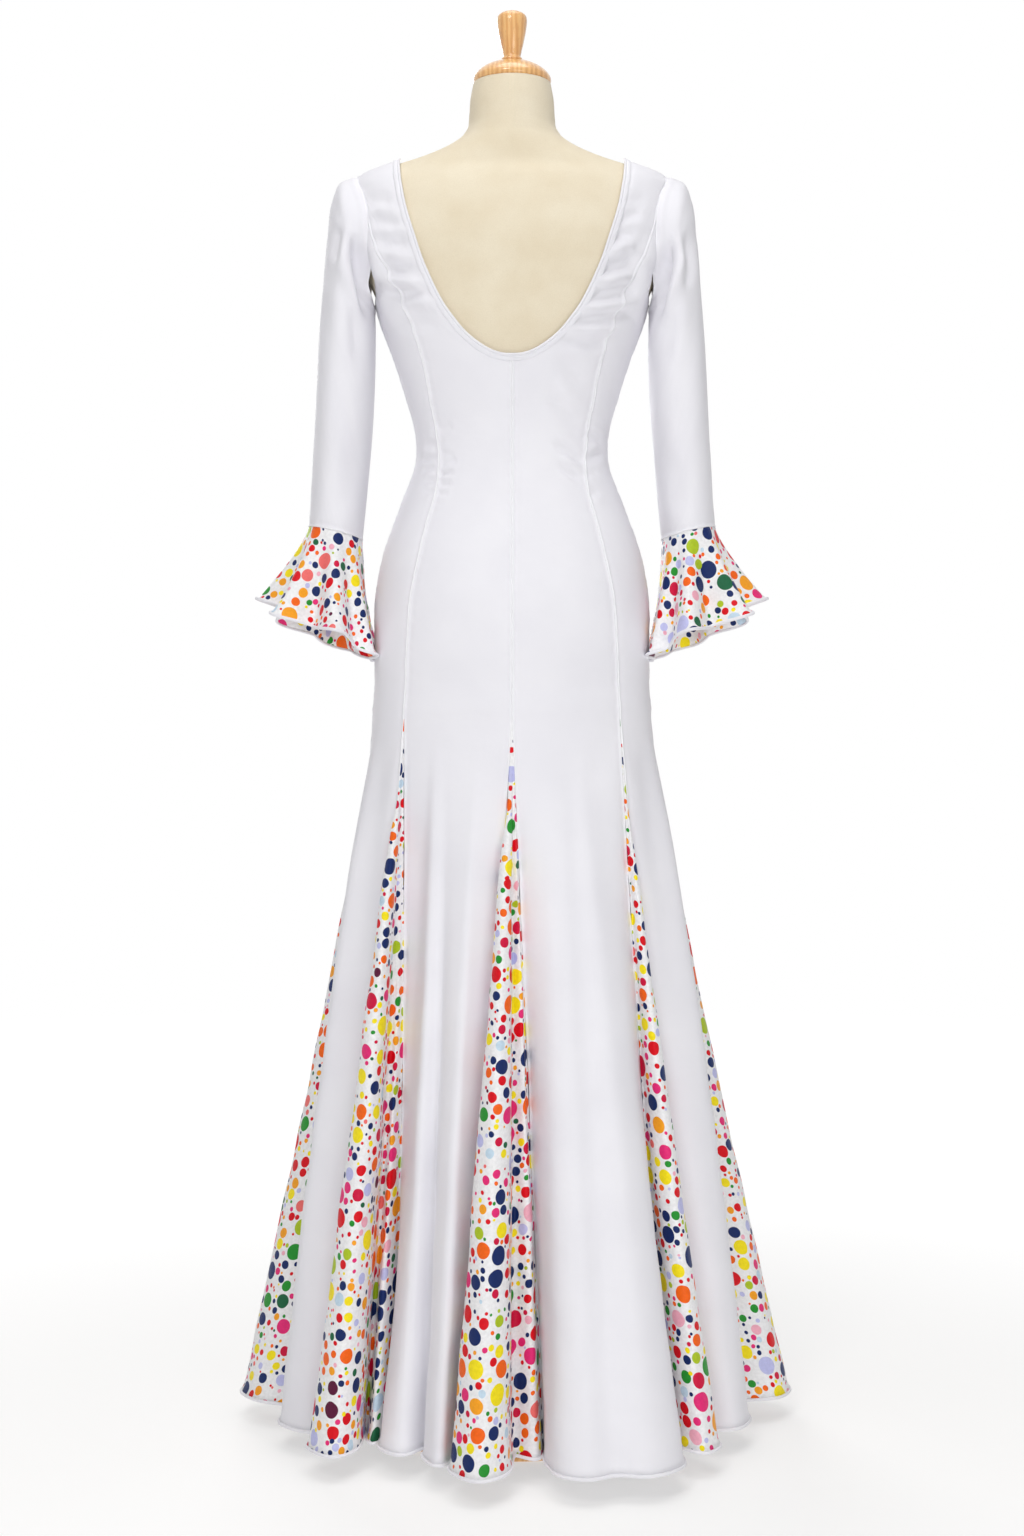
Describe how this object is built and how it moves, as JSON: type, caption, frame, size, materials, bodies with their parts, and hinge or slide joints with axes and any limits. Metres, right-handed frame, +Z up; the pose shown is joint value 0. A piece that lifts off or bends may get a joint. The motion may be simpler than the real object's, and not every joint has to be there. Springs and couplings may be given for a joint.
{
  "type": "flamenco dress on a dress form",
  "caption": "Long fitted dress with scoop back, princess seams, dotted godets and flounced sleeves, standing on a limbless padded dress form with pole and round base.",
  "frame": {"origin": "on the floor, on the axis of the stand", "axes": "+Z up, +Y out of the wearer's back, +X to the wearer's left"},
  "size_m": [0.662, 0.5974, 1.6886],
  "materials": {
    "satin": "smooth matt satin",
    "dotted_satin": "matt satin with many-coloured dots",
    "linen": "plain linen",
    "wood": "varnished beech",
    "steel": "satin"
  },
  "bodies": {
    "root": {"center_back_left": "satin", "center_back_right": "satin", "center_front": "satin", "side_back_left": "satin", "side_back_right": "satin", "side_front_left": "satin", "side_front_right": "satin", "godet_center_back": "dotted_satin", "godet_back_left": "dotted_satin", "godet_back_right": "dotted_satin", "godet_side_left": "dotted_satin", "godet_side_right": "dotted_satin", "godet_front_left": "dotted_satin", "godet_front_right": "dotted_satin", "sleeve_left": "satin", "sleeve_right": "satin", "flounce_left": "dotted_satin", "flounce_right": "dotted_satin", "neck_binding": "satin", "form_torso": "linen", "form_neck_cap": "wood", "form_finial": "wood", "stand_pole": "steel", "stand_base": "wood"}
  },
  "joints": []
}
